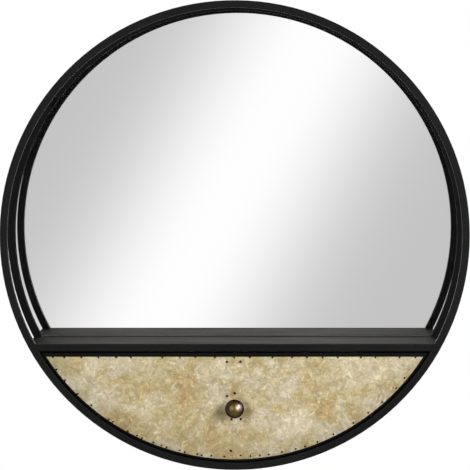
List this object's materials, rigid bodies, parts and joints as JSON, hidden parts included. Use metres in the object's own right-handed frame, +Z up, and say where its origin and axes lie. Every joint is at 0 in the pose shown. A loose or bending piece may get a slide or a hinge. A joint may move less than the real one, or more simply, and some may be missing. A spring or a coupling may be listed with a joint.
{
  "type": "wall mirror with drawer",
  "caption": "Round wall mirror in two black steel hoops, with a shelf and a half-moon drawer below it clad in pale gold galvanised sheet with a ball knob.",
  "frame": {"origin": "centre of the hoops on the wall plane", "axes": "+Z up, +Y into the wall, -Y out of the front, +X to the right as seen from the front"},
  "size_m": [0.6129, 0.1382, 0.613],
  "materials": {
    "black_steel": "satin black paint",
    "black_board": "matt black painted board",
    "gilt_sheet": "pale gold washed galvanised sheet with crystal patches",
    "black_tack": "black japanned",
    "mirror": "silvered",
    "backing_board": "bare hardboard",
    "foam": "closed cell foam",
    "rubber": "matt",
    "zinc_steel": "zinc plated",
    "slip_tape": "smooth",
    "plywood": "bare birch plywood",
    "antique_bronze": "darkened bronze, worn bright on the ball"
  },
  "bodies": {
    "frame": {"front_hoop": "black_steel", "rear_ring": "black_steel", "chord_bar": "black_steel", "shelf_plate": "black_steel", "tie_bar_left": "black_steel", "tie_bar_top": "black_steel", "tie_bar_right": "black_steel", "mirror_gasket": "foam", "mirror_glass": "mirror", "mirror_backing": "backing_board", "setting_blocks": "rubber", "retaining_tabs": "zinc_steel", "tab_screws": "zinc_steel", "hanger_left": "zinc_steel", "hanger_right": "zinc_steel", "drawer_housing": "black_steel", "bay_back_panel": "black_steel", "panel_rivets": "zinc_steel", "wall_bumpers": "rubber", "runner_left": "zinc_steel", "runner_right": "zinc_steel", "glide_tape_left": "slip_tape", "glide_tape_right": "slip_tape", "kicker_left": "black_board", "kicker_right": "black_board", "stop_bumpers": "rubber"},
    "drawer": {"drawer_front": "black_board", "cladding_left": "gilt_sheet", "cladding_right": "gilt_sheet", "cladding_tacks": "black_tack", "box_front": "plywood", "box_side_left": "plywood", "box_side_right": "plywood", "box_back": "plywood", "box_bottom": "plywood", "box_brads": "zinc_steel", "front_screws": "zinc_steel", "knob": "antique_bronze", "knob_rosette": "antique_bronze", "knob_screw": "zinc_steel", "knob_washer": "zinc_steel"}
  },
  "joints": [
    {"name": "drawer_slide", "type": "slide", "parent": "frame", "child": "drawer", "axis": [0, -1, 0], "range_m": [0, 0.07]}
  ]
}
